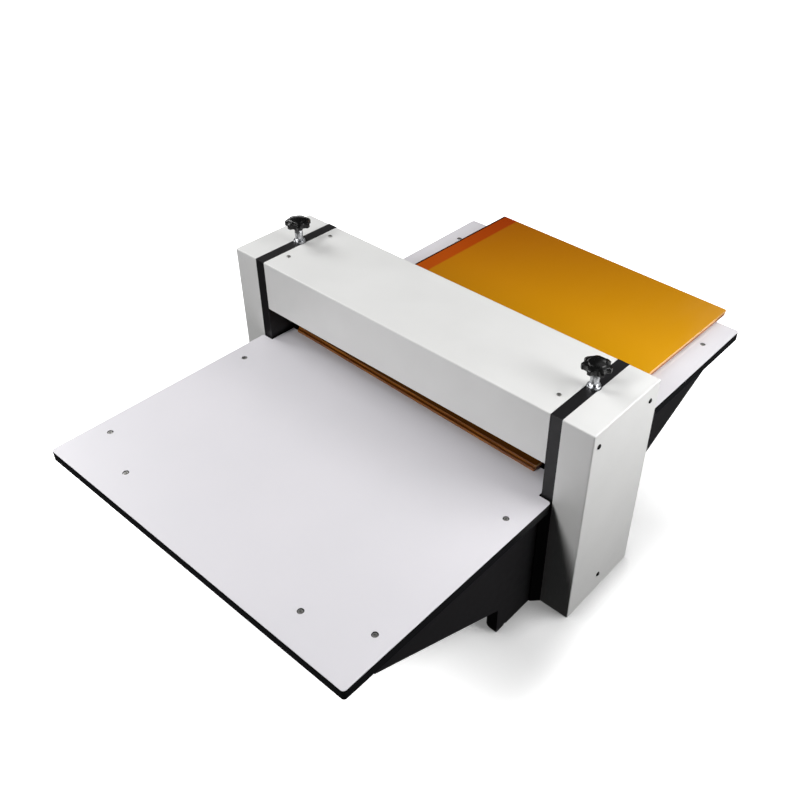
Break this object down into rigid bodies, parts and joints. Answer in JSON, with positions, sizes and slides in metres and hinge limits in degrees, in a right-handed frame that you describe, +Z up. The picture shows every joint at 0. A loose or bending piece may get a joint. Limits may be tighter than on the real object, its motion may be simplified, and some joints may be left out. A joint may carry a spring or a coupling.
{
  "type": "cold roll laminator",
  "caption": "Bench-top flatbed roll laminator: two geared rollers between side plates, flat feed tables, star-knob nip adjustment and amber carrier plates.",
  "frame": {"origin": "on the surface the machine stands on, under the middle of the covers: midway between the side plates and midway between the covers' front and rear faces", "axes": "+X along the rollers, towards the end that holds the drive gears; +Y the feed direction, infeed to outfeed; +Z up"},
  "size_m": [0.7534, 1.067, 0.426],
  "materials": {
    "cover_paint": "satin powder coat, warm light grey",
    "black_paint": "semi-gloss black",
    "zinc_sheet": "zinc plated",
    "table_white": "satin white laminate",
    "table_edge": "black edge band over board",
    "dark_screw": "black oxide",
    "zinc_screw": "bright zinc",
    "machined_steel": "machined",
    "bearing_steel": "ground, with dark seals",
    "block_iron": "machined cast iron",
    "chrome": "bright",
    "knob_black": "moulded, glossy",
    "roller_rubber": "ground rubber",
    "motor_paint": "grey enamel",
    "gearbox_alloy": "die cast",
    "cable_black": "matt",
    "switch_black": "fine texture",
    "rocker_red": "moulded",
    "amber": "translucent amber sheet, glossy"
  },
  "bodies": {
    "frame": {"bearing_cap_screws": "dark_screw", "bottom_pan": "zinc_sheet", "bottom_pan_screws": "dark_screw", "cable_grommet": "cable_black", "cover_screws": "dark_screw", "frame_bolts": "dark_screw", "front_crossmember": "black_paint", "gearbox": "gearbox_alloy", "gearbox_bolts": "dark_screw", "infeed_left_bracket": "black_paint", "infeed_right_bracket": "black_paint", "infeed_table_board": "table_edge", "infeed_table_skin": "table_white", "left_side_cover": "cover_paint", "left_side_plate": "black_paint", "lower_bearing_caps": "machined_steel", "lower_bearing_outer_rings": "bearing_steel", "motor": "motor_paint", "motor_cable": "cable_black", "motor_capacitor": "motor_paint", "outfeed_left_bracket": "black_paint", "outfeed_right_bracket": "black_paint", "outfeed_table_board": "table_edge", "outfeed_table_skin": "table_white", "power_inlet": "switch_black", "pressure_screw_bushes": "chrome", "rear_crossmember": "black_paint", "right_side_cover": "cover_paint", "right_side_plate": "black_paint", "roller_cover": "cover_paint", "roller_cover_ledges": "black_paint", "side_cover_standoffs": "machined_steel", "switch_body": "switch_black", "table_crossbars": "black_paint", "table_screws": "zinc_screw"},
    "lower_roller": {"lower_roller_shaft": "machined_steel", "lower_roller_core": "machined_steel", "lower_roller_rubber": "roller_rubber", "lower_bearing_inner_rings": "bearing_steel", "drive_gear": "machined_steel", "drive_gear_key": "machined_steel", "lower_shaft_circlips": "machined_steel"},
    "motor_output": {"motor_output_shaft": "machined_steel", "drive_pinion": "machined_steel"},
    "roller_carriage": {"upper_bearing_blocks": "block_iron", "block_keeper_plates": "machined_steel", "keeper_screws": "dark_screw", "upper_bearing_outer_rings": "bearing_steel", "screw_retainers": "machined_steel"},
    "upper_roller": {"upper_roller_shaft": "machined_steel", "upper_roller_core": "machined_steel", "upper_roller_rubber": "roller_rubber", "upper_bearing_inner_rings": "bearing_steel"},
    "left_screw": {"left_pressure_screw": "chrome", "left_star_knob": "knob_black"},
    "right_screw": {"right_pressure_screw": "chrome", "right_star_knob": "knob_black"},
    "rocker": {"switch_rocker": "rocker_red"},
    "lower_plate": {"lower_carrier_plate": "amber"},
    "upper_plate": {"upper_carrier_plate": "amber"}
  },
  "joints": [
    {"name": "lower_roller_spin", "type": "hinge", "parent": "frame", "child": "lower_roller", "pos_m": [0, 0.005, 0.1737], "axis": [1, 0, 0], "continuous": true},
    {"name": "motor_output_spin", "type": "hinge", "parent": "frame", "child": "motor_output", "pos_m": [0.34, 0.005, 0.0777], "axis": [1, 0, 0], "continuous": true},
    {"name": "roller_lift", "type": "slide", "parent": "frame", "child": "roller_carriage", "axis": [0, 0, 1], "range_m": [0, 0.012]},
    {"name": "upper_roller_spin", "type": "hinge", "parent": "roller_carriage", "child": "upper_roller", "pos_m": [0, 0.005, 0.2843], "axis": [1, 0, 0], "continuous": true},
    {"name": "left_screw_turn", "type": "hinge", "parent": "roller_carriage", "child": "left_screw", "pos_m": [-0.31, 0.005, 0.38], "axis": [0, 0, 1], "range_deg": [0, 2160]},
    {"name": "right_screw_turn", "type": "hinge", "parent": "roller_carriage", "child": "right_screw", "pos_m": [0.31, 0.005, 0.38], "axis": [0, 0, 1], "range_deg": [0, 2160]},
    {"name": "rocker_tilt", "type": "hinge", "parent": "frame", "child": "rocker", "pos_m": [-0.371, -0.045, 0.3], "axis": [0, 1, 0], "range_deg": [-9, 9]},
    {"name": "lower_plate_slide", "type": "slide", "parent": "frame", "child": "lower_plate", "axis": [0, 1, 0], "range_m": [-0.5, 0.045]},
    {"name": "upper_plate_slide", "type": "slide", "parent": "frame", "child": "upper_plate", "axis": [0, 1, 0], "range_m": [-0.5, 0.045]}
  ],
  "couplings": [
    {"joint": "motor_output_spin", "follows": "lower_roller_spin", "ratio": -3},
    {"joint": "upper_roller_spin", "follows": "lower_roller_spin", "ratio": -1},
    {"joint": "left_screw_turn", "follows": "roller_lift", "rad_per_m": 3141.6},
    {"joint": "right_screw_turn", "follows": "roller_lift", "rad_per_m": 3141.6},
    {"joint": "upper_plate_slide", "follows": "lower_plate_slide", "ratio": 1}
  ]
}
